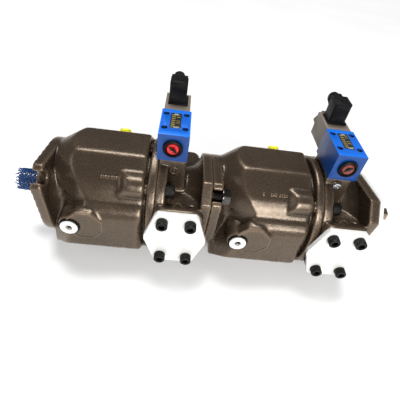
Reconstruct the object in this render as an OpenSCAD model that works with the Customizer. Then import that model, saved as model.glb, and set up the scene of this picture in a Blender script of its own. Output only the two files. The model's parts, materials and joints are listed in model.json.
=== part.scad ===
// Tandem axial piston pump: two identical swashplate pumps on one shaft line.
// Frame: origin at the centre of the front mounting face, +X along the shaft
// towards the rear, +Z up, the suction ports face -Y. Millimetres.

/* [Pump] */
// Distance between the mounting faces of the two pumps
pitch = 267; // [267:1:270]
// Mounting flange thickness
flange_t = 16; // [14:0.5:18]
// Pilot (spigot) diameter
pilot_d = 125; // [124:0.5:126]
// How far the pilot stands out of the mounting face
pilot_len = 9.5; // [8:0.5:9.5]
// Bolt circle of the two mounting slots
bolt_circle = 180; // [178:0.5:182]
// Width of the open mounting slots
slot_w = 18; // [17:0.5:20]

/* [Housing] */
// Radius of the drum between its bulges
drum_r = 88; // [86:0.5:89]
// Radius of the bolted joint ring
ring_r = 97; // [96:0.5:99]
// Joint plane between housing and port plate
joint_x = 181; // [181:0.5:181]
// Height of the flat on the control bulge
top_z = 95; // [94:0.5:97]
// Distance from the shaft to the drain side face
side_y = 98; // [97:0.5:99]
// Depth of the flat that the pump stands on, below the shaft
base_z = 98; // [98:0.5:100]

/* [Rotating group] */
// Piston diameter
piston_d = 22; // [21:0.5:22]
// Pitch radius of the pistons
piston_pr = 38; // [38:0.5:38]
// Cylinder block diameter
block_d = 110; // [106:1:112]
// Drive shaft length in front of the mounting face
shaft_ext = 56; // [54:1:60]

/* [Ports and valve] */
// Suction port bolt spacing along the shaft
suction_sx = 42.9; // [42:0.1:43.5]
// Suction port bolt spacing across the shaft
suction_sz = 77.8; // [77:0.1:78.5]
// Suction port bore
suction_d = 50; // [46:1:50]
// Pressure port bore
pressure_d = 25; // [23:1:27]
// Pressure port bolt spacing along the shaft
pressure_sx = 26.2; // [26:0.1:26.6]
// Pressure port bolt spacing across the shaft
pressure_sz = 52.4; // [52:0.1:53]
// Pilot valve body width
valve_w = 46; // [44:1:47]
// Pilot valve body length
valve_len = 73.4; // [72:0.2:75]

/* [Show] */
// Which sub-part to draw

/* [Hidden] */
$fn = 64;
iron = [0.36, 0.29, 0.24];
zinc = [0.82, 0.83, 0.84];
steel = [0.62, 0.63, 0.65];
black = [0.06, 0.06, 0.06];
blue = [0.08, 0.33, 0.80];
bronze = [0.72, 0.55, 0.28];
eps = 0.01;

// Swashplate pivot (ball plane) and the faces around it
piv_x = 95;
swash_face = 8;
swash_t = 16;
cradle_r = 46;
liner_t = 2;
cradle_y0 = 31;
cradle_y1 = 57;
slipper_gap = 0.2;
slipper_r = 12.5;
slipper_t = 3.5;
slipper_neck_r = 9.3;
ball_r = 7.5;
retainer_t = 3;
retainer_r = 52;
bush_r = 25;
stroke_z = 73.5;
servo_r = 11;
block_x0 = 112;
block_x1 = 175;
bore_end = 168.5;
piston_x0 = 104;
piston_x1 = 157;
piston_angles = [0, 40, 80, 120, 160];

// Shaft journals
seal_r = 17.4;
journal_r = 17.5;
shaft_r = 18;
rear_journal_r = 15;
spline_tip = 15.6;
spline_root = 13.8;
spline_teeth = 14;
drive_tip = 14;
drive_root = 12.2;
bearing_r = 36;
rear_bearing_r = 27.5;
fit = 0.03;

// Port plate
plate_x1 = 196;
rear_face = 267;
port_x = 217;
port_face = 97.5;
valve_x = 200.4;
valve_y0 = -41;
pad_z = 103;
valve_top = 150.7;
screw_r = 86;
slot_r = bolt_circle / 2;
ear_r = 105.5;
ear_half = 21.75;
core_r = 80;

// Ends of the bulges, and the groove between them and the joint ring
bulge_x1 = 162;
ring_x0 = 168;
groove_r = 84;

// Axes of the conical noses of the top bulge and of the near side bulge
nose_y = 8;
nose_z = 30;
side_nose_z = -70;
// Rear end of the recesses for the flange bolt heads
bolt_room_x1 = 35.3;
// Radius of the shaft opening of the swashplate and how far it is drawn out up and down
swash_eye_r = 23.5;
swash_eye_z = 2.5;

// Ports on the far slope of the top bulge
slope_y = 60.5;
slope_z = 75.5;
cap_x = 113;
vent_x = 84;

// Covers and gauge port
cover_t = 8.5;
end_t = 6;
gauge_z = 89;

// ---- helpers ----

// Places a piece on the front (0) or rear (1) pump
module pump(i) {
    translate([i * pitch, 0, 0]) children();
}

// Extrudes a (y, z) outline along the shaft
module along(x0, x1) {
    translate([x0, 0, 0]) rotate([90, 0, 90]) linear_extrude(x1 - x0) children();
}

// Extrudes an (x, z) outline across the shaft
module across(y0, y1) {
    translate([0, y1, 0]) rotate([90, 0, 0]) linear_extrude(y1 - y0) children();
}

// Extrudes an (x, y) outline upwards
module upright(z0, z1) {
    translate([0, 0, z0]) linear_extrude(z1 - z0) children();
}

// Turns an (r, x) outline about the shaft
module turned() {
    rotate([0, 90, 0]) rotate_extrude($fn = 96) children();
}

// Cylinder along the shaft
module rod(x0, x1, r) {
    translate([x0, 0, 0]) rotate([0, 90, 0]) cylinder(h = x1 - x0, r = r);
}

// Cylinder across the shaft
module cross_rod(y0, y1, r) {
    translate([0, y1, 0]) rotate([90, 0, 0]) cylinder(h = y1 - y0, r = r);
}

// Box between two corners
module block(a, b) {
    translate(a) cube(b - a);
}

// Sector of a disc between two angles
module sector(r, a0, a1) {
    polygon(concat([[0, 0]], [for (i = [0:8]) let (a = a0 + (a1 - a0) * i / 8)
        r * [cos(a), sin(a)]]));
}

// Regular hexagon with the given width across flats
module hexagon(af) {
    circle(r = af / 2 / cos(30), $fn = 6);
}

// Spline outline: straight-sided teeth on a root circle
module spline(root, tip, half_a) {
    circle(r = root);
    for (i = [0:spline_teeth - 1]) rotate(i * 360 / spline_teeth)
        polygon([[0, 0], (tip + 0.2) * [cos(half_a + 2), -sin(half_a + 2)],
            [tip, -tip * sin(half_a)], [tip, tip * sin(half_a)],
            (tip + 0.2) * [cos(half_a + 2), sin(half_a + 2)]]);
}

// ---- castings ----

// Rhombic two-bolt flange with its ears on the diagonal
module flange_outline(slots) {
    tangent = atan2(ear_half, ear_r) + acos(core_r / norm([ear_r, ear_half]));
    c = 4;
    rotate(135) difference() {
        union() {
            circle(r = core_r);
            for (s = [0, 180]) rotate(s)
                polygon([[0, -core_r + 10], core_r * [cos(tangent), -sin(tangent)],
                    [ear_r - c, -ear_half], [ear_r, -ear_half + c], [ear_r, ear_half - c],
                    [ear_r - c, ear_half], core_r * [cos(tangent), sin(tangent)],
                    [0, core_r - 10]]);
        }
        if (slots) for (s = [0, 180]) rotate(s) {
            translate([slot_r, 0]) circle(r = slot_w / 2);
            translate([slot_r, -slot_w / 2]) square([ear_r - slot_r + 1, slot_w]);
        }
    }
}

// Neck and drum: a concave throat behind the flange, a cone that ends in an edge on
// the drum, and a groove in front of the joint ring
module drum() {
    turned() polygon([[0, 10], [74, 10], [74, 16], [66, 19], [60, 24], [57, 30],
        [59, 37], [64, 45], [70, 53], [77, 62], [84, 71], [drum_r, 77],
        [drum_r, bulge_x1], [groove_r, bulge_x1 + 1], [groove_r, ring_x0 - 1],
        [ring_r - 1, ring_x0], [ring_r, ring_x0 + 1], [ring_r, joint_x], [0, joint_x]]);
}

// Bulge over the control piston: flat on top, its walls slope down to the side bulges,
// and its nose is a cone that runs down to the flange
module top_bulge() {
    intersection() {
        across(-82, 90) polygon([[12, 28], [12, top_z], [bulge_x1 - 2, top_z],
            [bulge_x1, top_z - 2], [bulge_x1, 28]]);
        along(10, 175) polygon([[-22, top_z], [-26, top_z - 3], [-62, 63.9],
            [-70, 54.3], [-76.5, 44.6], [-80.5, 37], [-70, 30], [-40, 34], [30, 40], [70, 42],
            [76, 50], [73, 62], [69, 67], [45, 91], [41, top_z]]);
        translate([0, nose_y, nose_z]) turned() polygon([[0, 10], [45.9, 10], [71.5, 51.5],
            [92, 83.2], [130, 84], [130, 175], [0, 175]]);
    }
}

// Far side bulge, whose nose leaves room for the flange bolt
module far_bulge() {
    intersection() {
        upright(-75, 60) polygon([[28, 58], [36, 76], [44, 90], [54, side_y - 2],
            [62, side_y], [bulge_x1 - 6, side_y], [bulge_x1, 92], [bulge_x1, 30], [28, 30]]);
        along(10, 175) polygon([[side_y, -42], [side_y, 12], [96, 30], [90, 44], [84, 51],
            [76, 53], [30, 56], [30, -70], [72, -70], [86, -58], [94, -50]]);
    }
}

// Near side bulge, whose nose runs down to the flange as a cone; it carries the drain plug
module side_bulge() {
    intersection() {
        upright(-75, 60) polygon([[13, -side_y], [bulge_x1 - 6, -side_y], [bulge_x1, -92],
            [bulge_x1, -30], [13, -30]]);
        along(10, 175) polygon([[-side_y, -40], [-side_y, 8], [-96, 20], [-91, 31],
            [-84, 38.5], [-76, 42.5], [-30, 50], [-30, -70], [-72, -70], [-86, -56],
            [-94, -48]]);
        translate([0, 0, side_nose_z]) turned() polygon([[0, 9], [65.8, 9], [150, 87],
            [170, 88], [170, 175], [0, 175]]);
    }
}

// Bottom bulge over the bias piston; its flat is what the pump stands on
module bottom_bulge() {
    intersection() {
        across(-64, 64) polygon([[24, -50], [32, -80], [46, -base_z], [bulge_x1 - 4, -base_z],
            [bulge_x1, -92], [bulge_x1, -40], [24, -40]]);
        along(10, 175) polygon([[-42, -base_z], [42, -base_z], [58, -80], [60, -40],
            [-60, -40], [-58, -80]]);
    }
}

// Blocks that take the four port plate screws, each with a sloping nose
module corner_bosses() {
    intersection() {
        turned() polygon([[50, 120], [86, 121], [102, 137], [102, bulge_x1], [50, bulge_x1]]);
        for (sy = [0, 1]) for (sz = [0, 1]) mirror([0, sy, 0]) mirror([0, 0, sz])
            along(115, joint_x) polygon([[-38, 79], [-59, 79], [-69, 73], [-75, 63],
                [-75, 54], [-60, 40], [-40, 60]]);
    }
}

// The rear pump alone has the small vent port beside its top cap
module housing(vent) {
    color(iron) difference() {
        union() {
            along(0, flange_t) flange_outline(true);
            rod(-pilot_len, 5, pilot_d / 2);
            drum();
            top_bulge();
            side_bulge();
            far_bulge();
            bottom_bulge();
            corner_bosses();
            // sleeves that carry the port plate screws across the groove
            for (a = [45:90:315]) rotate([a, 0, 0]) translate([0, screw_r, 0])
                rod(150, ring_x0 + 3, 9);
            // drain port boss and the octagonal pad beside it
            translate([52, 0, 1]) cross_rod(-side_y - 0.2, -50, 18);
            translate([76, 0, 5]) across(-side_y - 1.4, -80) rotate(22.5)
                circle(r = 30, $fn = 8);
            // seat of the cap on the far slope of the top bulge
            tilted_port(cap_x) cylinder(h = 12, r = 13);
        }
        // shaft seal seat, shaft clearance and front bearing seat
        rod(-pilot_len - 1, 1, 25);
        rod(0, 16, 20);
        rod(15, 52, bearing_r);
        // cylinder block chamber, with a pocket in each side bulge
        rod(80, joint_x + 1, 61);
        block([84, -84, -36], [153, 84, 26]);
        // cradle seats and the space the swashplate tilts in
        translate([piv_x, 0, 0]) cross_rod(-58.5, 58.5, cradle_r + liner_t + 0.05);
        block([50, -30.5, -67], [106, 30.5, 67]);
        block([48, -14, -86], [114, 14, 86]);
        // control piston and bias piston bores
        translate([0, 0, stroke_z]) rod(112, 168, servo_r + fit);
        translate([0, 0, -stroke_z]) rod(112, 168, servo_r + fit);
        // drain port, top ports and screw holes
        translate([52, 0, 1]) cross_rod(-side_y - 2, -side_y + 1.5, 16);
        translate([52, 0, 1]) cross_rod(-side_y, -40, 10.5);
        tilted_port(cap_x) translate([0, 0, -1]) cylinder(h = 20, r = 7);
        if (vent) tilted_port(vent_x) translate([0, 0, -1]) cylinder(h = 20, r = 4);
        for (a = [45:90:315]) rotate([a, 0, 0]) translate([0, screw_r, 0])
            rod(144, joint_x + 1, 7 + fit);
        // recesses that the flange bolt heads turn in
        for (s = [1, -1]) rotate([135, 0, 0]) translate([0, s * slot_r, 0])
            rod(flange_t, bolt_room_x1, 17);
    }
}

// Places a piece on the far slope of the top bulge, its +Z pointing out of the slope
module tilted_port(x) {
    translate([x, slope_y, slope_z]) rotate([-45, 0, 0]) translate([0, 0, -12]) children();
}

// Port boss outline, seen across the shaft
module port_boss(hx, hz, r) {
    for (sx = [-1, 1]) for (sz = [-1, 1]) translate([sx * (hx - r), sz * (hz - r)])
        circle(r = r);
    square([2 * (hx - r), 2 * hz], center = true);
    square([2 * hx, 2 * (hz - r)], center = true);
}

// Duct from the suction port to the rotating group, flared towards its face
module suction_duct() {
    intersection() {
        across(-port_face, 0) translate([port_x + 1, 0]) port_boss(38, 54, 16);
        along(joint_x, 262) polygon([[-port_face, -54], [-port_face, 54], [-90, 54],
            [-80, 48], [-70, 42], [-50, 39], [0, 38], [0, -38], [-50, -39], [-70, -42],
            [-80, -48], [-90, -54]]);
    }
}

module port_plate(gauge) {
    color(iron) difference() {
        union() {
            turned() polygon([[0, joint_x], [ring_r, joint_x], [ring_r, plate_x1 - 1],
                [ring_r - 1, plate_x1], [70, plate_x1 + 1], [60, 203], [54, 210],
                [52, 219], [53, 229], [58, 239], [66, 247], [74, 251], [74, 260],
                [0, 260]]);
            along(251, rear_face) flange_outline(false);
            suction_duct();
            // pressure boss on the far side
            across(0, 84) translate([port_x, 0]) port_boss(34, 40, 14);
            // pilot valve pad
            block([joint_x, -34, 40], [224, 34, pad_z]);
        }
        // rear bearing seat and the coupling space
        rod(joint_x - 1, 201, rear_bearing_r);
        rod(200, 258, 30);
        rod(257, rear_face + 1, pilot_d / 2 + 0.05);
        // kidney passages to the ports
        for (s = [-1, 1]) for (a = [-50:25:50])
            rotate([a, 0, 0]) translate([0, s * piston_pr, 0]) rod(joint_x - 1, 206, 6.4);
        // ports, their threaded holes and the valve pad holes
        translate([port_x, 0, 0]) cross_rod(-port_face - 1, -34, suction_d / 2);
        translate([port_x, 0, 0]) cross_rod(34, 90, pressure_d / 2);
        for (sx = [-1, 1]) for (sz = [-1, 1]) {
            translate([port_x + sx * suction_sx / 2, 0, sz * suction_sz / 2])
                cross_rod(-port_face - 1, -70, 6 + fit);
            translate([port_x + sx * pressure_sx / 2, 0, sz * pressure_sz / 2])
                cross_rod(66, 90, 4.25);
            translate([valve_x + sx * 15.5, -1.4 + sz * 20.25, 0])
                upright(88, pad_z + 1) circle(r = 2.5 + fit);
        }
        translate([valve_x, 0, 0]) upright(60, pad_z + 1) circle(r = 3.5);
        for (a = [45:90:315]) rotate([a, 0, 0]) translate([0, screw_r, 0]) {
            rod(joint_x - 1, plate_x1 + 1, 7.2);
            rod(plate_x1 - 0.6, 222, 12);
        }
        // tapped holes for the flange bolts
        for (s = [1, -1]) rotate([135, 0, 0]) translate([0, s * slot_r, 0])
            rod(252.9, rear_face + 1, 8 + fit);
        // gauge port in the near side of the valve pad, with its spotface
        if (gauge) translate([200, 0, gauge_z]) {
            cross_rod(-36, -16, 5);
            cross_rod(-60, -34, 7);
        }
    }
}

// ---- covers, plugs and screws ----

module suction_covers() {
    color(zinc) for (i = [0, 1]) pump(i) difference() {
        across(-port_face - cover_t, -port_face - 0.02) translate([port_x, 0])
            polygon([[-49, -5], [-49, 5], [-46, 11], [-33, 50], [-29, 54], [29, 54],
                [33, 50], [46, 11], [49, 5], [49, -5], [46, -11], [33, -50], [29, -54],
                [-29, -54], [-33, -50], [-46, -11]]);
        for (sx = [-1, 1]) for (sz = [-1, 1])
            translate([port_x + sx * suction_sx / 2, 0, sz * suction_sz / 2])
                cross_rod(-port_face - cover_t - 1, -port_face + 1, 6.6);
    }
}

// Socket head screw pointing down -Z from the underside of its head
module socket_screw(r, head_r, head_h, len, key) {
    difference() {
        union() {
            cylinder(h = head_h, r = head_r);
            translate([0, 0, -len]) cylinder(h = len + eps, r = r);
        }
        translate([0, 0, head_h * 0.45]) linear_extrude(head_h) hexagon(key);
    }
}

module cover_screws() {
    color(black) for (i = [0, 1]) pump(i) for (sx = [-1, 1]) for (sz = [-1, 1])
        translate([port_x + sx * suction_sx / 2, -port_face - cover_t - 0.02,
            sz * suction_sz / 2]) rotate([90, 0, 0]) socket_screw(6, 9, 12, 30, 10);
}

module port_plate_screws() {
    color(black) for (i = [0, 1]) pump(i) for (a = [45:90:315])
        rotate([a, 0, 0]) translate([plate_x1 - 0.6, screw_r, 0])
            rotate([0, 90, 0]) socket_screw(7, 10.5, 14, 50, 12);
}

module drain_plugs() {
    color(zinc) for (i = [0, 1]) pump(i) translate([52, -side_y + 1.48, 1])
        rotate([90, 0, 0]) difference() {
            union() {
                translate([0, 0, -16]) cylinder(h = 17, r = 10.5 - fit);
                cylinder(h = 1.6, r = 15);
                translate([0, 0, 1.6]) cylinder(h = 5, r = 13.5);
            }
            translate([0, 0, 1]) linear_extrude(12) hexagon(10);
        }
}

module top_caps() {
    color([0.95, 0.92, 0.08]) for (i = [0, 1]) pump(i) tilted_port(cap_x) {
        translate([0, 0, 1]) cylinder(h = 12, r = 6.8);
        translate([0, 0, 12.02]) cylinder(h = 6, r = 10.5);
        translate([0, 0, 18]) cylinder(h = 2, r = 9);
    }
}

module port_plugs() {
    color(steel) pump(1) {
        tilted_port(vent_x) translate([0, 0, 12.02]) socket_screw(3.95, 6, 4, 10, 4);
        translate([200, -34.02, gauge_z]) rotate([90, 0, 0])
            socket_screw(4.95, 6.5, 6, 14, 5);
    }
}

// Hex bolt with washer, head towards +X, shank running to -X
module hex_bolt(len, af, head) {
    rod(0, 2.5, af * 0.62);
    along(2.5, 2.5 + head) hexagon(af);
    rod(2.5 + head, 3.2 + head, af * 0.44);
    rod(-len, 1, 8);
}

module flange_bolts() {
    color(steel) for (s = [1, -1]) rotate([135, 0, 0]) {
        translate([pitch + flange_t + 0.02, s * slot_r, 0]) hex_bolt(30, 24, 10);
        translate([pitch + rear_face + end_t + 0.04, s * slot_r, 0]) hex_bolt(20, 19, 8);
    }
}

module end_cover() {
    color(zinc) pump(1) difference() {
        union() {
            along(rear_face + 0.02, rear_face + end_t) flange_outline(false);
            rod(rear_face - 8, rear_face + 1, pilot_d / 2);
        }
        for (s = [1, -1]) rotate([135, 0, 0]) translate([0, s * slot_r, 0])
            rod(rear_face - 1, rear_face + end_t + 1, 8.5);
    }
}

// ---- fixed inner pieces ----

// Bearing as a closed ring with a groove between its races
module bearing(x0, x1, r_in, r_out) {
    mid = (r_in + r_out) / 2;
    turned() polygon([[r_in + fit, x0], [mid - 3, x0], [mid - 3, x0 + 2],
        [mid + 3, x0 + 2], [mid + 3, x0], [r_out - fit, x0], [r_out - fit, x1],
        [mid + 3, x1], [mid + 3, x1 - 2], [mid - 3, x1 - 2], [mid - 3, x1],
        [r_in + fit, x1]]);
}

module shaft_bearings() {
    color(steel) for (i = [0, 1]) pump(i) {
        bearing(15.05, 33, journal_r, bearing_r);
        bearing(184, 200.9, rear_journal_r, rear_bearing_r);
    }
}

module shaft_seals() {
    color([0.12, 0.10, 0.09]) for (i = [0, 1]) pump(i)
        turned() polygon([[seal_r + 0.05, -4], [19, -7], [25 - fit, -7], [25 - fit, 0.95],
            [22, 0.95], [22, -4], [19.5, -4], [19, 0.5], [seal_r + 0.05, 0.5]]);
}

module valve_plates() {
    color(bronze) for (i = [0, 1]) pump(i) difference() {
        rod(block_x1 + 0.05, joint_x - 0.02, 54);
        rod(block_x1 - 1, joint_x + 1, 28);
        for (s = [-1, 1]) for (a = [-50:25:50])
            rotate([a, 0, 0]) translate([0, s * piston_pr, 0])
                rod(block_x1 - 1, joint_x + 1, 6);
    }
}

module cradle_liners() {
    color(bronze) for (i = [0, 1]) pump(i) for (s = [-1, 1])
        translate([piv_x, 0, 0]) intersection() {
            difference() {
                cross_rod(min(s * cradle_y0, s * cradle_y1),
                    max(s * cradle_y0, s * cradle_y1), cradle_r + liner_t);
                cross_rod(-60, 60, cradle_r + 0.05);
            }
            across(-60, 60) rotate(180) sector(80, -52, 52);
        }
}

// Bias spring as a closed sleeve of its own outer shape
module bias_springs() {
    color(steel) for (i = [0, 1]) pump(i) translate([0, 0, -stroke_z]) difference() {
        rod(141.2, 167.8, 7.5);
        rod(141, 168, 4.5);
    }
}

// ---- pilot valves ----

module valve_body() {
    color(blue) difference() {
        union() {
            block([valve_x - valve_w / 2, valve_y0, pad_z + 2.5],
                [valve_x + valve_w / 2, valve_y0 + valve_len, valve_top]);
            block([valve_x - 21, -36, pad_z + 0.02], [valve_x + 21, 30, pad_z + 3]);
        }
        for (sx = [-1, 1]) for (sy = [-1, 1])
            translate([valve_x + sx * 15.5, -1.4 + sy * 20.25, 0]) {
                upright(pad_z - 1, valve_top + 1) circle(r = 2.7);
                upright(valve_top - 8, valve_top + 1) circle(r = 4.6);
            }
        translate([valve_x, 0, 128]) {
            cross_rod(valve_y0 - 1, 25, 8 + fit);
            cross_rod(valve_y0 - 1, valve_y0 + 8, 13 + fit);
        }
        translate([valve_x, 0, 0]) upright(pad_z - 1, 124) circle(r = 3.5);
    }
}

module valve_screws() {
    color(black) for (i = [0, 1]) pump(i) for (sx = [-1, 1]) for (sy = [-1, 1])
        translate([valve_x + sx * 15.5, -1.4 + sy * 20.25, valve_top - 7.98])
            socket_screw(2.5, 4.25, 5, 52, 4);
}

module valve_end_rings() {
    color(black) for (i = [0, 1]) pump(i) translate([valve_x, 0, 128]) difference() {
        union() {
            cross_rod(valve_y0 - 3, valve_y0 + 7.9, 13);
            cross_rod(valve_y0 - 5, valve_y0 - 2, 11.5);
        }
        cross_rod(valve_y0 - 6, valve_y0 + 4, 9);
    }
}

module valve_end_caps() {
    color([0.75, 0.05, 0.04]) for (i = [0, 1]) pump(i) translate([valve_x, 0, 128])
        difference() {
            cross_rod(valve_y0 - 3.5, valve_y0 + 3.98, 9 - fit);
            across(valve_y0 - 6, valve_y0 - 1) square([12, 2.4], center = true);
        }
}

module solenoids() {
    color([0.50, 0.44, 0.38]) for (i = [0, 1]) pump(i) {
        y0 = valve_y0 + valve_len + 0.02;
        // square coil, hexagonal tube nut and override nub
        difference() {
            block([valve_x - 20.5, y0, 109], [valve_x + 20.5, y0 + 58, 149.5]);
            block([valve_x - 14, y0 + 19, 148], [valve_x + 14, y0 + 47, 150]);
        }
        translate([valve_x, 0, 129.3]) {
            across(y0 + 57.9, y0 + 69) hexagon(36);
            cross_rod(y0 + 68.9, y0 + 73, 14);
            cross_rod(y0 + 72.9, y0 + 79, 4);
        }
    }
}

module connector_bases() {
    color(black) for (i = [0, 1]) pump(i) {
        block([valve_x - 13.9, 51.6, 148.02], [valve_x + 13.9, 79.3, 153]);
        block([valve_x - 16, 50, 149.55], [valve_x + 16, 81, 152.5]);
    }
}

module connector_plugs() {
    color(black) for (i = [0, 1]) pump(i) {
        difference() {
            upright(153.02, 184) translate([valve_x - 15, 50.5]) polygon([[0, 3], [3, 0],
                [25, 0], [28, 3], [28, 28], [25, 31], [3, 31], [0, 28]]);
            block([valve_x - 12, 49, 160], [valve_x + 10, 51.5, 176]);
        }
        // lid with its centre screw
        upright(183.9, 187) translate([valve_x - 14, 51.5]) square([26, 29]);
        translate([valve_x, 62, 0]) upright(186.9, 189) circle(r = 4);
        // cable gland on the far side
        translate([valve_x - 2, 0, 175]) {
            across(81.4, 91) hexagon(23);
            cross_rod(90.9, 101, 9.5);
        }
    }
}

// ---- rotating line ----

// Turned shaft of one pump, with a spline at each end
module shaft(ext, spl) {
    color(steel) {
        difference() {
            along(-ext, -ext + spl) spline(spline_root, spline_tip, 5.5);
            if (ext > 50) rod(-ext - 1, -ext + 22, 5);
        }
        turned() polygon(concat(
            ext > 50 ? [[0, -ext + 23], [spline_root, -ext + 23]]
                : [[0, -ext + 2], [spline_root, -ext + 2]],
            [[spline_root, -ext + spl - 0.1], [15.9, -ext + spl - 0.1], [15.9, -9],
            [seal_r, -8], [seal_r, 3], [journal_r, 4], [journal_r, 33], [21, 33.1],
            [21, 37], [shaft_r - 0.02, 37], [shaft_r - 0.02, 174.5],
            [rear_journal_r, 176], [rear_journal_r, 203], [drive_root, 204],
            [drive_root, 224], [0, 224]]));
        along(205, 224.5) spline(drive_root, drive_tip, 5.5);
    }
}

module shaft_coupling() {
    color(steel) difference() {
        rod(204, 247.5, 23);
        along(203, 225.5) spline(drive_root + 0.06, drive_tip + 0.06, 6.2);
        along(225.4, 250) spline(spline_root + 0.06, spline_tip + 0.06, 6.2);
    }
}

// Plastic protection net drawn over the front shaft end
module shaft_net() {
    color([0.05, 0.35, 0.65]) difference() {
        rod(-shaft_ext - 6, -12, 18.5);
        rod(-shaft_ext - 0.5, -11, 16.3);
        rod(-shaft_ext - 7, -shaft_ext, 14.5);
    }
}

module cylinder_block() {
    color(steel) difference() {
        union() {
            rod(block_x0, block_x1, block_d / 2);
            rod(piv_x + 6, block_x0 + 1, 22);
            intersection() {
                translate([piv_x, 0, 0]) rotate([0, 90, 0]) sphere(r = bush_r);
                rod(piv_x - 6.5, piv_x + 9, 30);
            }
        }
        rod(piv_x - 10, block_x1 + 1, shaft_r);
        for (k = [0:8]) rotate([k * 40, 0, 0]) translate([0, 0, piston_pr]) {
            rod(block_x0 - 1, bore_end, piston_d / 2 + 0.02);
            rod(bore_end - 1, block_x1 + 1, 6);
        }
    }
}

// Piston (or mirrored pair) at the given angle from +Z
module pistons(k) {
    a = piston_angles[k - 1];
    color(steel) for (s = a == 0 ? [1] : [-1, 1]) rotate([s * a, 0, 0])
        translate([0, 0, piston_pr]) difference() {
            union() {
                rod(piston_x0, piston_x1, piston_d / 2);
                turned() polygon([[0, piv_x], [5, piv_x + 4], [5, piv_x + 6.5],
                    [piston_d / 2, piston_x0 - 0.5], [piston_d / 2, piston_x0 + 1],
                    [0, piston_x0 + 1]]);
                translate([piv_x, 0, 0]) rotate([0, 90, 0]) sphere(r = ball_r);
            }
            rod(126, piston_x1 + 1, 6.5);
            rod(piv_x - 10, 127, 1.2);
        }
}

// Slippers on the balls of the same pistons
module slippers(k) {
    a = piston_angles[k - 1];
    x0 = piv_x - swash_face + slipper_gap;
    color(bronze) for (s = a == 0 ? [1] : [-1, 1]) rotate([s * a, 0, 0])
        translate([0, 0, piston_pr]) difference() {
            turned() polygon([[0, x0], [slipper_r, x0], [slipper_r, x0 + slipper_t],
                [slipper_neck_r, x0 + slipper_t], [slipper_neck_r, piv_x + 1.5],
                [8.2, piv_x + 2.5], [0, piv_x + 2.5]]);
            translate([piv_x, 0, 0]) rotate([0, 90, 0]) sphere(r = ball_r + 0.04);
            turned() polygon([[0, piv_x - 9], [7.5, piv_x - 9], [7.5, x0 + 0.6],
                [0, x0 + 0.6]]);
        }
}

module retainer() {
    x0 = piv_x - swash_face + slipper_gap + slipper_t + 0.2;
    color(steel) difference() {
        rod(x0, x0 + retainer_t, retainer_r);
        rod(x0 - 1, x0 + retainer_t + 1, bush_r + 0.3);
        for (k = [0:8]) rotate([k * 40, 0, 0]) translate([0, 0, piston_pr])
            rod(x0 - 1, x0 + retainer_t + 1, 11.2);
    }
}

module swashplate() {
    front = piv_x - swash_face - swash_t;
    face = piv_x - swash_face;
    color(steel) difference() {
        union() {
            // two cradle halves
            for (s = [-1, 1]) intersection() {
                translate([piv_x, 0, 0])
                    cross_rod(min(s * 29, s * 56.5), max(s * 29, s * 56.5), cradle_r);
                block([0, -60, -60], [face, 60, 60]);
            }
            // running plate and the two stroking arms
            block([front, -30, -56], [face, 30, 56]);
            block([front + 1, -10, -80.5], [face, 10, 80.5]);
        }
        // shaft opening
        for (s = [-1, 1]) translate([0, 0, s * swash_eye_z]) rod(front - 1, face + 1, swash_eye_r);
        // inner ends of the cradle halves clear the shaft
        block([30, -30.5, -46], [front, 30.5, 46]);
    }
}

// Control piston above the shaft, bias piston below it
module servo(z) {
    color(steel) translate([0, 0, z]) difference() {
        union() {
            translate([piv_x + 3.3, 0, 0]) rotate([0, 90, 0]) sphere(r = servo_r - 0.001);
            rod(piv_x + 3.3, 141, servo_r - 0.001);
        }
        rod(120, 142, 6);
    }
}

// ---- one line per node ----

pump(0) housing(false);  // front_housing
pump(1) housing(true);  // rear_housing
pump(0) port_plate(false);  // front_port_plate
pump(1) port_plate(true);  // rear_port_plate
suction_covers();
cover_screws();
port_plate_screws();
drain_plugs();
top_caps();
port_plugs();
flange_bolts();
end_cover();
shaft_bearings();
shaft_seals();
valve_plates();
cradle_liners();
pump(0) valve_body();  // front_valve_body
pump(1) valve_body();  // rear_valve_body
valve_screws();
valve_end_rings();
valve_end_caps();
solenoids();
connector_bases();
connector_plugs();
bias_springs();
pump(0) shaft(shaft_ext, 48);  // front_shaft
pump(1) shaft(41, 22);  // rear_shaft
shaft_coupling();
shaft_net();
pump(0) cylinder_block();  // front_cylinder_block
pump(1) cylinder_block();  // rear_cylinder_block
pump(0) swashplate();  // front_swashplate
pump(1) swashplate();  // rear_swashplate
pump(0) retainer();  // front_retainer
pump(1) retainer();  // rear_retainer
pump(0) servo(stroke_z);  // front_control_piston
pump(1) servo(stroke_z);  // rear_control_piston
pump(0) servo(-stroke_z);  // front_bias_piston
pump(1) servo(-stroke_z);  // rear_bias_piston
pump(0) pistons(1);  // front_pistons_1
pump(0) pistons(2);  // front_pistons_2
pump(0) pistons(3);  // front_pistons_3
pump(0) pistons(4);  // front_pistons_4
pump(0) pistons(5);  // front_pistons_5
pump(1) pistons(1);  // rear_pistons_1
pump(1) pistons(2);  // rear_pistons_2
pump(1) pistons(3);  // rear_pistons_3
pump(1) pistons(4);  // rear_pistons_4
pump(1) pistons(5);  // rear_pistons_5
pump(0) slippers(1);  // front_slippers_1
pump(0) slippers(2);  // front_slippers_2
pump(0) slippers(3);  // front_slippers_3
pump(0) slippers(4);  // front_slippers_4
pump(0) slippers(5);  // front_slippers_5
pump(1) slippers(1);  // rear_slippers_1
pump(1) slippers(2);  // rear_slippers_2
pump(1) slippers(3);  // rear_slippers_3
pump(1) slippers(4);  // rear_slippers_4
pump(1) slippers(5);  // rear_slippers_5
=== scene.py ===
import json
import math
import random

import bmesh
import bpy
import numpy as np
from mathutils import Matrix, Vector


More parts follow.
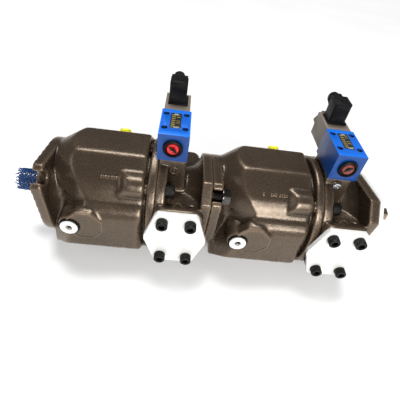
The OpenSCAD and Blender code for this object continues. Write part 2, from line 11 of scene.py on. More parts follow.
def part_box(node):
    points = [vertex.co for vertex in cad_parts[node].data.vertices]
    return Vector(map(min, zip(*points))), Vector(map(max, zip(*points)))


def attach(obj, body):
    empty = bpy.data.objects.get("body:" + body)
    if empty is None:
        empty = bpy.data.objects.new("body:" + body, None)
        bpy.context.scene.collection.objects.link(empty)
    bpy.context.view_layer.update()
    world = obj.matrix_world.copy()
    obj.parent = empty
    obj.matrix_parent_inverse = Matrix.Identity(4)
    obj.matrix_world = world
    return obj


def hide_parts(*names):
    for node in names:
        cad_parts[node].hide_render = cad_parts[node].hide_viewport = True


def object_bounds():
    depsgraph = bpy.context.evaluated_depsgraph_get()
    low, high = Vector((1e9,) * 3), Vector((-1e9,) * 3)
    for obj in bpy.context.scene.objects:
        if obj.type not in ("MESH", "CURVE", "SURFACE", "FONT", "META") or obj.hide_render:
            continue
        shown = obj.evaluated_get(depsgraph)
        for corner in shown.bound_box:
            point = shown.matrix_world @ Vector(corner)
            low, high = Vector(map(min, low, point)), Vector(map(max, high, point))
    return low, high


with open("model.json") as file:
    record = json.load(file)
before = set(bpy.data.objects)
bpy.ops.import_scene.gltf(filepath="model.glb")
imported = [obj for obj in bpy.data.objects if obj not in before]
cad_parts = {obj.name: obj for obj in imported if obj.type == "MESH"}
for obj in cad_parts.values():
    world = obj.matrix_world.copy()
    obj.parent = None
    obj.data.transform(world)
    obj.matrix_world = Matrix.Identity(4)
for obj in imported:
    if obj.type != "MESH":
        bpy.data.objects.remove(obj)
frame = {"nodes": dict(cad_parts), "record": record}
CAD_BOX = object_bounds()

# Distance between the two pumps along the shaft line
PITCH = 0.267
# Bodies of the record that the pieces ride on
FIXED = "pump_cases"
TURNING = "drive_line"

# ---------------------------------------------------------------- camera


CAMERA_PLACE = (0.2092, -0.4519, 0.4150)
CAMERA_LENS = 30.39


def make_camera():
    """Camera above the near side that looks down at the whole row."""
    data = bpy.data.cameras.new("camera")
    data.lens = CAMERA_LENS
    data.sensor_width = 36.0
    data.clip_end = 50
    right = Vector((0.99167, 0.01410, 0.12850))
    down = Vector((0.10308, -0.68519, -0.72169))
    ahead = Vector((0.07753, 0.72842, -0.68030))
    cam = bpy.data.objects.new("camera", data)
    bpy.context.scene.collection.objects.link(cam)
    turn = Matrix((right, -down, -ahead)).transposed().to_4x4()
    cam.matrix_world = Matrix.Translation(CAMERA_PLACE) @ turn
    bpy.context.scene.camera = cam


make_camera()

# ---------------------------------------------------------------- materials


class Nodes:
    """A small helper that adds and links shader nodes."""

    def __init__(self, name):
        self.mat = bpy.data.materials.new(name)
        self.mat.use_nodes = True
        self.tree = self.mat.node_tree
        self.tree.nodes.clear()
        self.out = self.add("ShaderNodeOutputMaterial")
        self.bsdf = self.add("ShaderNodeBsdfPrincipled")
        self.link(self.bsdf, "BSDF", self.out, "Surface")
        self.coord = self.add("ShaderNodeTexCoord")

    def add(self, kind):
        return self.tree.nodes.new(kind)

    def link(self, a, out, b, into):
        self.tree.links.new(a.outputs[out], b.inputs[into])

    def noise(self, scale, detail=4.0, rough=0.55, stretch=None):
        node = self.add("ShaderNodeTexNoise")
        node.inputs["Scale"].default_value = scale
        node.inputs["Detail"].default_value = detail
        node.inputs["Roughness"].default_value = rough
        if stretch:
            mapping = self.add("ShaderNodeMapping")
            mapping.inputs["Scale"].default_value = stretch
            self.link(self.coord, "Object", mapping, "Vector")
            self.link(mapping, "Vector", node, "Vector")
        else:
            self.link(self.coord, "Object", node, "Vector")
        return node

    def ramp(self, source, out, stops):
        node = self.add("ShaderNodeValToRGB")
        elements = node.color_ramp.elements
        while len(elements) > 1:
            elements.remove(elements[-1])
        for i, (pos, value) in enumerate(stops):
            e = elements[0] if i == 0 else elements.new(pos)
            e.position = pos
            e.color = (*value, 1.0) if isinstance(value, tuple) else (value, value, value, 1.0)
        self.link(source, out, node, "Fac")
        return node

    def mix(self, fac, a, b, how="MIX", amount=0.5):
        node = self.add("ShaderNodeMix")
        node.data_type = "RGBA"
        node.blend_type = how
        if fac is None:
            node.inputs[0].default_value = amount
        else:
            self.tree.links.new(fac, node.inputs[0])
        for socket, value in ((node.inputs[6], a), (node.inputs[7], b)):
            if isinstance(value, tuple):
                socket.default_value = (*value, 1.0)
            else:
                self.tree.links.new(value, socket)
        return node.outputs[2]

    def wear_and_highlight_edges(self):
        """Runs from 0 in hollows to 1 on raised edges."""
        geometry = self.add("ShaderNodeNewGeometry")
        return self.ramp(geometry, "Pointiness", [(0.47, 0.0), (0.50, 0.25), (0.56, 1.0)])

    def bump(self, parts):
        last = None
        for source, strength, distance in parts:
            node = self.add("ShaderNodeBump")
            node.inputs["Strength"].default_value = strength
            node.inputs["Distance"].default_value = distance
            self.tree.links.new(source, node.inputs["Height"])
            if last is not None:
                self.link(last, "Normal", node, "Normal")
            last = node
        self.link(last, "Normal", self.bsdf, "Normal")


def cast_iron(name, dark, mid, light):
    """Brown-grey shot-blasted casting: cloudy tone, fine grain, rubbed edges lightened further as
    a painted highlight, and hollows darkened as painted shade.
    """
    n = Nodes(name)
    broad = n.noise(13, 3, 0.6)
    fine = n.noise(380, 5, 0.65)
    grain = n.noise(1300, 3, 0.6)
    tone = n.ramp(broad, "Fac", [(0.30, dark), (0.52, mid), (0.74, light)])
    speck = n.ramp(fine, "Fac", [(0.34, 0.50), (0.50, 0.95), (0.68, 1.45)])
    colour = n.mix(None, tone.outputs["Color"], speck.outputs["Color"], "MULTIPLY", 0.6)
    # painted shade: hollows and creases are darkened, down to 0.30 of the colour at the deepest
    geometry = n.add("ShaderNodeNewGeometry")
    painted_hollow_shade = n.ramp(geometry, "Pointiness", [(0.40, 0.30), (0.485, 1.0)])
    colour = n.mix(None, colour, painted_hollow_shade.outputs["Color"], "MULTIPLY", 1.0)
    # rubbed edges, partly wear and partly painted highlight: raised edges are mixed towards four
    # times the light tone
    edge = n.wear_and_highlight_edges()
    painted_edge_highlight = tuple(min(1.0, 4.0 * c) for c in light)
    colour = n.mix(edge.outputs["Color"], colour, painted_edge_highlight)
    n.tree.links.new(colour, n.bsdf.inputs["Base Color"])
    rough = n.ramp(fine, "Fac", [(0.30, 0.21), (0.70, 0.34)])
    n.link(rough, "Color", n.bsdf, "Roughness")
    n.bsdf.inputs["Metallic"].default_value = 0.40
    n.bsdf.inputs["Specular IOR Level"].default_value = 0.85
    n.bsdf.inputs["Specular Tint"].default_value = (1.0, 0.86, 0.70, 1.0)
    n.bump([(broad.outputs["Fac"], 0.30, 0.004), (fine.outputs["Fac"], 0.35, 0.0008),
            (grain.outputs["Fac"], 0.25, 0.0003)])
    return n.mat


def metal(name, colour, rough, metallic=1.0, brush=(60, 60, 600), grime=0.75, scale=30,
          shine=0.5):
    """Machined, plated or blackened metal with tool marks and light grime."""
    n = Nodes(name)
    lines = n.noise(9, 4, 0.6, brush)
    spots = n.noise(scale, 5, 0.6)
    dirt = n.ramp(spots, "Fac", [(0.28, tuple(c * grime for c in colour)), (0.55, colour),
                                 (0.80, tuple(min(1.0, c * 1.06) for c in colour))])
    sheen = n.ramp(lines, "Fac", [(0.3, 0.88), (0.7, 1.06)])
    mixed = n.mix(None, dirt.outputs["Color"], sheen.outputs["Color"], "MULTIPLY", 0.6)
    n.tree.links.new(mixed, n.bsdf.inputs["Base Color"])
    r = n.ramp(spots, "Fac", [(0.3, max(0.05, rough - 0.08)), (0.7, min(1.0, rough + 0.10))])
    n.link(r, "Color", n.bsdf, "Roughness")
    n.bsdf.inputs["Metallic"].default_value = metallic
    n.bsdf.inputs["Specular IOR Level"].default_value = shine
    n.bump([(lines.outputs["Fac"], 0.12, 0.0002), (spots.outputs["Fac"], 0.08, 0.0006)])
    return n.mat


def paint(name, colour, rough, coat=0.0, vary=0.8, wear=None, shine=0.30, shade=None):
    """Enamel or moulded plastic with a fine skin texture and slight wear; shade paints shade on
    the faces that do not look up, darkening them."""
    n = Nodes(name)
    spots = n.noise(40, 4, 0.6)
    fine = n.noise(900, 3, 0.6)
    tone = n.ramp(spots, "Fac", [(0.3, tuple(c * vary for c in colour)), (0.55, colour),
                                 (0.8, tuple(min(1.0, c * 1.12 + 0.004) for c in colour))])
    colour_out = tone.outputs["Color"]
    if wear:
        colour_out = n.mix(n.wear_and_highlight_edges().outputs["Color"], colour_out, wear)
    if shade:
        # painted shade: faces that do not look up are darkened, down to the shade factor
        axes = n.add("ShaderNodeSeparateXYZ")
        n.link(n.add("ShaderNodeNewGeometry"), "Normal", axes, "Vector")
        painted_facing_shade = n.ramp(axes, "Z", [(0.35, shade), (0.85, 1.0)])
        colour_out = n.mix(None, colour_out, painted_facing_shade.outputs["Color"], "MULTIPLY", 1.0)
    n.tree.links.new(colour_out, n.bsdf.inputs["Base Color"])
    r = n.ramp(spots, "Fac", [(0.3, max(0.05, rough - 0.08)), (0.7, min(1.0, rough + 0.08))])
    n.link(r, "Color", n.bsdf, "Roughness")
    n.bsdf.inputs["Coat Weight"].default_value = coat
    n.bsdf.inputs["Specular IOR Level"].default_value = shine
    n.bump([(fine.outputs["Fac"], 0.12, 0.0003), (spots.outputs["Fac"], 0.06, 0.001)])
    return n.mat


IRON = cast_iron("cast_iron_brown", (0.0070, 0.0044, 0.0028), (0.0150, 0.0098, 0.0064),
                 (0.035, 0.0243, 0.0164))
ZINC = metal("bright_zinc", (0.70, 0.695, 0.665), 0.36, 0.10, (40, 40, 40), 0.90, 60)
STEEL = metal("machined_steel", (0.56, 0.56, 0.58), 0.28)
CHROME = metal("dark_bolt", (0.070, 0.066, 0.062), 0.20, 1.0, (60, 60, 60), 0.3)
BOLT = metal("bolt_steel", (0.36, 0.29, 0.23), 0.38)
OXIDE = metal("black_oxide", (0.006, 0.0055, 0.005), 0.40, 0.2, (60, 60, 60), 0.5,
              shine=0.20)
BRONZE = metal("bearing_bronze", (0.62, 0.42, 0.20), 0.33)
YELLOW = paint("yellow_plastic", (0.92, 0.86, 0.02), 0.42, 0.1)
RED = paint("red_plastic", (0.44, 0.006, 0.006), 0.25, 0.2)
RED_OLD = paint("red_plastic_faded", (0.16, 0.030, 0.020), 0.30, 0.1)
# the valve blue carries painted shade: faces that do not look up are darkened to 0.26
BLUE = paint("valve_blue", (0.0020, 0.048, 0.300), 0.34, 0.0, 0.85, wear=(0.005, 0.15, 0.70),
             shade=0.26)
COIL = paint("solenoid_coat", (0.120, 0.092, 0.072), 0.46, 0.0, 0.75, wear=(0.20, 0.165, 0.135))
BLACK = paint("black_plastic", (0.004, 0.004, 0.0042), 0.46, 0.0, 0.7, shine=0.12)
NET = paint("net_blue", (0.001, 0.040, 0.160), 0.36, 0.0, 0.8)
RUBBER = paint("seal_rubber", (0.020, 0.018, 0.016), 0.6, 0.0, 0.7)
PLATE_BLACK = paint("plate_black", (0.020, 0.019, 0.017), 0.30, 0.2)
PLATE_GOLD = metal("plate_gold", (0.62, 0.50, 0.16), 0.35, 0.7, (50, 50, 50))
PLATE_SILVER = metal("plate_silver", (0.70, 0.70, 0.68), 0.35, 0.7, (50, 50, 50))

SLOT_MATERIAL = {
    "cast_iron": IRON, "zinc": ZINC, "black_oxide": OXIDE, "steel": STEEL,
    "bolt_steel": BOLT, "bronze": BRONZE, "yellow_plastic": YELLOW, "red_plastic": RED,
    "valve_blue": BLUE, "solenoid_coat": COIL, "black_plastic": BLACK, "net_blue": NET,
    "seal_rubber": RUBBER,
}
NODE_SLOT = {p["node"]: p["material_slot"] for p in frame["record"]["subparts"]}
NODE_BODY = {n: b for b, ns in frame["record"]["behaviour"]["bodies"].items() for n in ns}
for node_name, obj in frame["nodes"].items():
    obj.data.materials.clear()
    obj.data.materials.append(SLOT_MATERIAL[NODE_SLOT[node_name]])

# ---------------------------------------------------------------- mesh helpers


def new_object(name, mesh, material):
    """Adds an object with one material to the scene."""
    obj = bpy.data.objects.new(name, mesh)
    bpy.context.scene.collection.objects.link(obj)
    mesh.materials.clear()
    mesh.materials.append(material)
    return obj


def mesh_from(bm, name):
    """Mesh of bm with its normals outwards; bm is freed."""
    mesh = bpy.data.meshes.new(name)
    bmesh.ops.recalc_face_normals(bm, faces=bm.faces)
    bm.to_mesh(mesh)
    bm.free()
    return mesh


def smooth_shade(obj, angle=35):
    """Smooth shading, with the edges sharper than angle kept crisp."""
    mesh = obj.data
    mesh.polygons.foreach_set("use_smooth", [True] * len(mesh.polygons))
    mesh.update()
    bm = bmesh.new()
    bm.from_mesh(mesh)
    limit = math.radians(angle)
    for e in bm.edges:
        e.smooth = not (len(e.link_faces) == 2 and e.calc_face_angle(0) > limit)
    bm.to_mesh(mesh)
    bm.free()


def baked(obj):
    """Replaces obj's mesh by its modifiers' result."""
    graph = bpy.context.evaluated_depsgraph_get()
    mesh = bpy.data.meshes.new_from_object(obj.evaluated_get(graph))
    obj.modifiers.clear()
    obj.data = mesh
    return obj


def placed(obj, body, slot, *nodes):
    """Attaches obj to the body it rides on and hides the CAD nodes it replaces; slot is not used.
    """
    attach(obj, body)
    if nodes:
        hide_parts(*nodes)
    return obj


def loft(bm, rings, place, close_start=True, close_end=True):
    """Skins a list of rings of points; place maps a point to the row frame."""
    made = [[bm.verts.new(place @ Vector(p)) for p in ring] for ring in rings]
    for a, b in zip(made, made[1:]):
        for i in range(len(a)):
            j = (i + 1) % len(a)
            bm.faces.new((a[i], a[j], b[j], b[i]))
    if close_start:
        bm.faces.new(made[0])
    if close_end:
        bm.faces.new(made[-1])


def circle_ring(z, r, count=72, ripple=0.0):
    """Ring of points about +Z; ripple lowers every third point, as on a knurl."""
    out = []
    for i in range(count):
        a = 2 * math.pi * i / count
        rr = r - (ripple if i % 3 == 0 else 0.0)
        out.append((rr * math.cos(a), rr * math.sin(a), z))
    return out


def hex_ring(z, flats, count=72):
    """Hexagonal ring about +Z with as many points as a circle_ring."""
    out = []
    for i in range(count):
        a = 2 * math.pi * i / count
        local = a % (math.pi / 3) - math.pi / 6
        rr = 0.5 * flats / math.cos(local)
        out.append((rr * math.cos(a), rr * math.sin(a), z))
    return out


# Share of a screw head's height that its hexagon socket takes
SOCKET_DEPTH = 0.55


def socket_rings(r, head_r, head_h, length, key, knurl):
    """Rings of a knurled socket head cap screw from its point up and down into its socket."""
    c = 0.06 * head_r
    k = head_h * (1 - SOCKET_DEPTH)
    rings = [circle_ring(-length, r * 0.85), circle_ring(-length + 0.15 * r, r),
             circle_ring(-0.00002, r), circle_ring(0, head_r - c), circle_ring(c, head_r)]
    top = head_h - 2.2 * c
    rings += [circle_ring(2 * c, head_r), circle_ring(2.2 * c, head_r, ripple=knurl),
              circle_ring(top - 3 * c, head_r, ripple=knurl),
              circle_ring(top - 2.8 * c, head_r)]
    rings += [circle_ring(top, head_r), circle_ring(head_h - 0.8 * c, head_r - 0.7 * c),
              circle_ring(head_h, head_r - 2.0 * c), circle_ring(head_h, key * 0.62),
              hex_ring(head_h - 0.05 * key, key), hex_ring(k, key),
              circle_ring(k - 0.12 * key, key * 0.2)]
    return rings


def screws(name, places, rings, material, slot, nodes):
    """One object with the same screw at every place."""
    bm = bmesh.new()
    for place in places:
        loft(bm, rings, place)
    obj = new_object(name, mesh_from(bm, name), material)
    smooth_shade(obj, 32)
    return placed(obj, FIXED, slot, *nodes)


# Degrees: flatter joins between faces are dissolved, sharper edges are rounded
JOIN_ANGLE = 3
ROUND_ANGLE = 28


def refined(node, material=None, width=0.0008, segments=2, span=None):
    """A copy of a CAD node with its flat faces joined up and its edges rounded; span keeps
    only the solids between two x values."""
    source = frame["nodes"][node]
    mesh = source.data.copy()
    bm = bmesh.new()
    bm.from_mesh(mesh)
    if span:
        far = [v for v in bm.verts if not span[0] <= v.co.x <= span[1]]
        bmesh.ops.delete(bm, geom=far, context="VERTS")
    bmesh.ops.remove_doubles(bm, verts=bm.verts, dist=1e-6)
    bmesh.ops.dissolve_limit(bm, angle_limit=math.radians(JOIN_ANGLE), verts=bm.verts,
                             edges=bm.edges)
    bm.to_mesh(mesh)
    bm.free()
    name = node + ("_fine" if not span or span[0] <= 0 else "_fine_rear")
    obj = new_object(name, mesh, material or SLOT_MATERIAL[NODE_SLOT[node]])
    mod = obj.modifiers.new("edges", "BEVEL")
    mod.width = width
    mod.segments = segments
    mod.limit_method = "ANGLE"
    mod.angle_limit = math.radians(ROUND_ANGLE)
    mod.harden_normals = False
    baked(obj)
    smooth_shade(obj, 32)
    return placed(obj, NODE_BODY[node], NODE_SLOT[node],
                  *([] if name.endswith("_rear") else [node]))


def place_at(origin, z_axis, x_axis=(1, 0, 0)):
    """Matrix that puts the local origin and +Z where asked."""
    z = Vector(z_axis).normalized()
    x = Vector(x_axis)
    x = (x - z * x.dot(z)).normalized()
    y = z.cross(x)
    m = Matrix((x, y, z)).transposed().to_4x4()
    return Matrix.Translation(Vector(origin)) @ m


# ---------------------------------------------------------------- castings

# Places along one pump where the castings are machined and keep crisper edges
FLANGE_END = 0.0175
RING_START = 0.1665
RING_END = 0.198
REAR_FLANGE_START = 0.250
DRUM_R = 0.088
# Voxel size of the cast skin and number of relaxing passes
VOXEL = 0.0018
RELAX_PASSES = 12
# Share of the way to its neighbours' mean that a vertex moves in one pass
CRISP_WEIGHT = 0.12
CAST_WEIGHT = 0.6


def relax(co, edges, passes, weight):
    """Moves every vertex towards the mean of its neighbours, passes times."""
    count = len(co)
    degree = np.bincount(edges.ravel(), minlength=count)[:, None]
    for _ in range(passes):
        total = np.stack([
            np.bincount(edges[:, 0], co[edges[:, 1], k], count)
            + np.bincount(edges[:, 1], co[edges[:, 0], k], count) for k in range(3)], 1)
        co = co + weight[:, None] * (total / degree - co)
    return co


def casting(node, offset):
    """Cast skin over a CAD casting: the edges between its bulges become fillets, while the
    machined flange and joint ring stay crisper."""
    source = frame["nodes"][node]
    obj = new_object(node + "_cast", source.data.copy(), IRON)
    mod = obj.modifiers.new("voxels", "REMESH")
    mod.mode = "VOXEL"
    mod.voxel_size = VOXEL
    baked(obj)
    mesh = obj.data
    count = len(mesh.vertices)
    co = np.zeros(count * 3)
    mesh.vertices.foreach_get("co", co)
    co = co.reshape(-1, 3)
    edges = np.zeros(len(mesh.edges) * 2, np.int64)
    mesh.edges.foreach_get("vertices", edges)
    edges = edges.reshape(-1, 2)
    x = co[:, 0] - offset
    r = np.hypot(co[:, 1], co[:, 2])
    flange = (x > -0.02) & (x < FLANGE_END)
    ring = (x > RING_START) & (x < RING_END) & (r > DRUM_R)
    crisp = flange | ring | (x > REAR_FLANGE_START)
    weight = np.where(crisp, CRISP_WEIGHT, CAST_WEIGHT)
    co = relax(co, edges, RELAX_PASSES, weight)
    mesh.vertices.foreach_set("co", co.ravel())
    mesh.materials.clear()
    mesh.materials.append(IRON)
    mesh.polygons.foreach_set("use_smooth", [True] * len(mesh.polygons))
    mesh.update()
    return placed(obj, FIXED, "cast_iron", node)


for start, name in ((0.0, "front"), (PITCH, "rear")):
    casting(name + "_housing", start)
    casting(name + "_port_plate", start)

# ---------------------------------------------------------------- covers, plugs and screws


def solid_boxes(node):
    """Low and high corner of every separate solid of a CAD node, in the order of the low
    corners, so that every run gives the same meshes."""
    source = frame["nodes"][node]
    bm = bmesh.new()
    bm.from_mesh(source.data)
    bmesh.ops.remove_doubles(bm, verts=bm.verts, dist=1e-6)
    left = set(bm.verts)
    boxes = []
    while left:
        todo = [left.pop()]
        seen = list(todo)
        while todo:
            v = todo.pop()
            for e in v.link_edges:
                o = e.other_vert(v)
                if o in left:
                    left.discard(o)
                    todo.append(o)
                    seen.append(o)
        co = np.array([v.co for v in seen])
        boxes.append((co.min(0), co.max(0)))
    bm.free()
    return sorted(boxes, key=lambda box: tuple(box[0]))


def add_cover_screws():
    places = []
    for low, high in solid_boxes("cover_screws"):
        mid = (low + high) / 2
        places.append(place_at((mid[0], low[1] + 0.012, mid[2]), (0, -1, 0)))
    rings = socket_rings(0.006, 0.009, 0.012, 0.030, 0.0098, knurl=0.0004)
    screws("cover_screws_knurled", places, rings, OXIDE, "black_oxide", ["cover_screws"])


def add_plate_screws():
    places = []
    for low, high in solid_boxes("port_plate_screws"):
        mid = (low + high) / 2
        places.append(place_at((high[0] - 0.014, mid[1], mid[2]), (1, 0, 0), (0, 1, 0)))
    rings = socket_rings(0.007, 0.0105, 0.014, 0.050, 0.012, knurl=0.0004)
    screws("port_plate_screws_knurled", places, rings, OXIDE, "black_oxide",
           ["port_plate_screws"])


def add_valve_screws():
    places = []
    for low, high in solid_boxes("valve_screws"):
        mid = (low + high) / 2
        places.append(place_at((mid[0], mid[1], high[2] - 0.005), (0, 0, 1)))
    rings = socket_rings(0.0025, 0.00425, 0.005, 0.052, 0.004, knurl=0.0002)
    screws("valve_screws_knurled", places, rings, OXIDE, "black_oxide", ["valve_screws"])


def add_drain_plugs():
    """Plated plugs with a sealing washer and a hexagon socket; a black piece in each socket is
    painted shade.
    """
    plugs, washers, socket_shade = bmesh.new(), bmesh.new(), bmesh.new()
    for low, high in solid_boxes("drain_plugs"):
        mid = (low + high) / 2
        place = place_at((mid[0], low[1] + 0.0066, mid[2]), (0, -1, 0))
        loft(plugs, [circle_ring(-0.016, 0.0098), circle_ring(-0.015, 0.0104),
                     circle_ring(0.0017, 0.0104), circle_ring(0.0017, 0.0132),
                     circle_ring(0.0020, 0.0136), circle_ring(0.0056, 0.0136),
                     circle_ring(0.0064, 0.0130), circle_ring(0.0066, 0.0122),
                     circle_ring(0.0066, 0.0064), hex_ring(0.0060, 0.0102),
                     hex_ring(0.0004, 0.0102), circle_ring(-0.0004, 0.002)], place)
        loft(washers, [circle_ring(0, 0.0106), circle_ring(0.0001, 0.0155),
                       circle_ring(0.0005, 0.0159), circle_ring(0.0040, 0.0159),
                       circle_ring(0.0045, 0.0154), circle_ring(0.0042, 0.0137)], place,
             False, False)
        # painted shade: a black piece in each hexagon socket stands for the shade inside it
        loft(socket_shade, [hex_ring(0.0002, 0.0100), hex_ring(0.0014, 0.0100),
                       circle_ring(0.0010, 0.0022)], place)
    obj = new_object("drain_plug_socket_shade", mesh_from(socket_shade, "drain_plug_socket_shade"), OXIDE)
    placed(obj, FIXED, "black_oxide")
    obj = new_object("drain_plugs_fine", mesh_from(plugs, "drain_plugs_fine"), ZINC)
    smooth_shade(obj, 32)
    placed(obj, FIXED, "zinc", "drain_plugs")
    obj = new_object("drain_plug_washers", mesh_from(washers, "drain_plug_washers"), BLACK)
    smooth_shade(obj, 32)
    placed(obj, FIXED, "black_plastic")


# Distance from the middle of a top cap to its outer face
CAP_RISE = 0.0095


def add_top_caps():
    """Yellow push-in caps with a rolled rim and a shallow dish."""
    bm = bmesh.new()
    out = Vector((0, 1, 1)).normalized()
    for low, high in solid_boxes("top_caps"):
        mid = (Vector(low) + Vector(high)) / 2
        place = place_at(mid + out * CAP_RISE, out)
        loft(bm, [circle_ring(-0.0185, 0.0066), circle_ring(-0.008, 0.0068),
                  circle_ring(-0.008, 0.0100), circle_ring(-0.0076, 0.0105),
                  circle_ring(-0.0060, 0.0105), circle_ring(-0.0056, 0.0098),
                  circle_ring(-0.0012, 0.0096), circle_ring(-0.0002, 0.0088),
                  circle_ring(0.0, 0.0078), circle_ring(-0.0012, 0.0068),
                  circle_ring(-0.0016, 0.002)], place)
    obj = new_object("top_caps_fine", mesh_from(bm, "top_caps_fine"), YELLOW)
    smooth_shade(obj, 40)
    placed(obj, FIXED, "yellow_plastic", "top_caps")


add_cover_screws()
add_plate_screws()
add_valve_screws()
add_drain_plugs()
add_top_caps()
refined("suction_covers", width=0.0010)
refined("end_cover", width=0.0008)
refined("port_plugs", width=0.0004)
# The flange bolts behind this x are the ones of the end cover
REAR_BOLTS_FROM = 0.45
refined("flange_bolts", CHROME, width=0.0008, span=(0, REAR_BOLTS_FROM))
refined("flange_bolts", width=0.0006, span=(REAR_BOLTS_FROM, 1))

# ---------------------------------------------------------------- pilot valves

refined("front_valve_body", width=0.0010)
refined("rear_valve_body", width=0.0010)
refined("solenoids", width=0.0012, segments=3)
refined("connector_bases", width=0.0006)
refined("connector_plugs", width=0.0010)


def box_into(bm, low, high, bevel=0.0):
    """Adds a box between two corners to bm, with its edges rounded if bevel is given."""
    made = bmesh.ops.create_cube(bm, size=1.0)["verts"]
    low, high = Vector(low), Vector(high)
    for v in made:
        v.co = Vector((low[k] + (v.co[k] + 0.5) * (high[k] - low[k]) for k in range(3)))
    if bevel:
        edges = list(dict.fromkeys(e for v in made for e in v.link_edges))
        bmesh.ops.bevel(bm, geom=edges, offset=bevel, segments=2, affect="EDGES",
                        profile=0.5)


def add_nameplates():
    """Plain plates with ruled bars in place of print."""
    plate, gold, silver = bmesh.new(), bmesh.new(), bmesh.new()
    for node in ("front_valve_body", "rear_valve_body"):
        low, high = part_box(node)
        x = (low[0] + high[0]) / 2
        top = high[2]
        y0, y1 = low[1] + 0.0190, low[1] + 0.0620
        box_into(plate, (x - 0.0082, y0, top - 0.0002), (x + 0.0082, y1, top + 0.0005), 0.0002)
        rise = top + 0.00065
        for k in range(7):
            y = y0 + 0.0035 + k * 0.0054
            box_into(gold, (x - 0.0066, y, top), (x - 0.0008, y + 0.0017, rise))
            if k % 3 != 1:
                box_into(gold, (x + 0.0006, y, top), (x + 0.0064, y + 0.0011, rise))
        box_into(silver, (x - 0.0030, y1 - 0.0050, top), (x + 0.0030, y1 - 0.0020, rise))
        box_into(silver, (x - 0.0026, y0 + 0.0012, top), (x + 0.0058, y0 + 0.0030, rise))
    for name, bm, mat in (("nameplates", plate, PLATE_BLACK), ("nameplate_bars", gold, PLATE_GOLD),
                          ("nameplate_marks", silver, PLATE_SILVER)):
        obj = new_object(name, mesh_from(bm, name), mat)
        placed(obj, FIXED, "black_plastic")


# Slot in the red caps, drawn as a black bar that is painted shade of the slot: outline and depths
# in the cap's own frame, and degrees it is turned
SLOT_OUTLINE = [(-0.0078, 0.0), (-0.0070, -0.0014), (0.0070, -0.0020), (0.0078, 0.0),
                (0.0070, 0.0020), (-0.0070, 0.0014)]
SLOT_DEPTHS = (0.0020, 0.0040)
SLOT_TURN = {"front": -40, "rear": 35}


def add_end_rings():
    """Black ring and coloured cap in the near end of each pilot valve."""
    rings = bmesh.new()
    places = []
    for low, high in solid_boxes("valve_end_rings"):
        mid = (low + high) / 2
        place = place_at((mid[0], low[1] + 0.005, mid[2]), (0, -1, 0))
        places.append(place)
        loft(rings, [circle_ring(-0.0078, 0.0092), circle_ring(-0.0078, 0.0129),
                     circle_ring(0.0, 0.0129), circle_ring(0.0, 0.0142),
                     circle_ring(0.0006, 0.0148), circle_ring(0.0024, 0.0148),
                     circle_ring(0.0036, 0.0140), circle_ring(0.0050, 0.0122),
                     circle_ring(0.0050, 0.0112), circle_ring(0.0040, 0.0104),
                     circle_ring(0.0010, 0.0098), circle_ring(-0.0030, 0.0092)], place,
             False, False)
    obj = new_object("valve_end_rings_fine", mesh_from(rings, "valve_end_rings_fine"), BLACK)
    smooth_shade(obj, 40)
    placed(obj, FIXED, "black_plastic", "valve_end_rings")
    places.sort(key=lambda m: m.translation[0])
    for place, mat, name in zip(places, (RED, RED_OLD), ("front", "rear")):
        bm = bmesh.new()
        loft(bm, [circle_ring(-0.0060, 0.0085), circle_ring(0.0022, 0.0092),
                  circle_ring(0.0034, 0.0084), circle_ring(0.0037, 0.0070),
                  circle_ring(0.0034, 0.0052), hex_ring(0.0026, 0.0070),
                  hex_ring(0.0002, 0.0068), circle_ring(-0.0002, 0.0015)], place)
        obj = new_object(name + "_end_cap", mesh_from(bm, name + "_end_cap"), mat)
        smooth_shade(obj, 35)
        placed(obj, FIXED, "red_plastic", *(["valve_end_caps"] if name == "front" else []))
        # painted shade: a black bar across the cap stands for the shade in its slot
        bm = bmesh.new()
        slant = Matrix.Rotation(math.radians(SLOT_TURN[name]), 4, "Z")
        loft(bm, [[(x, y, z) for x, y in SLOT_OUTLINE] for z in SLOT_DEPTHS], place @ slant)
        obj = new_object(name + "_cap_slot_shade", mesh_from(bm, name + "_cap_slot_shade"), OXIDE)
        placed(obj, FIXED, "black_oxide")


# How far the cast marks reach into the casting and stand out of it
MARK_ROOT = -0.0015
MARK_RISE = 0.0008


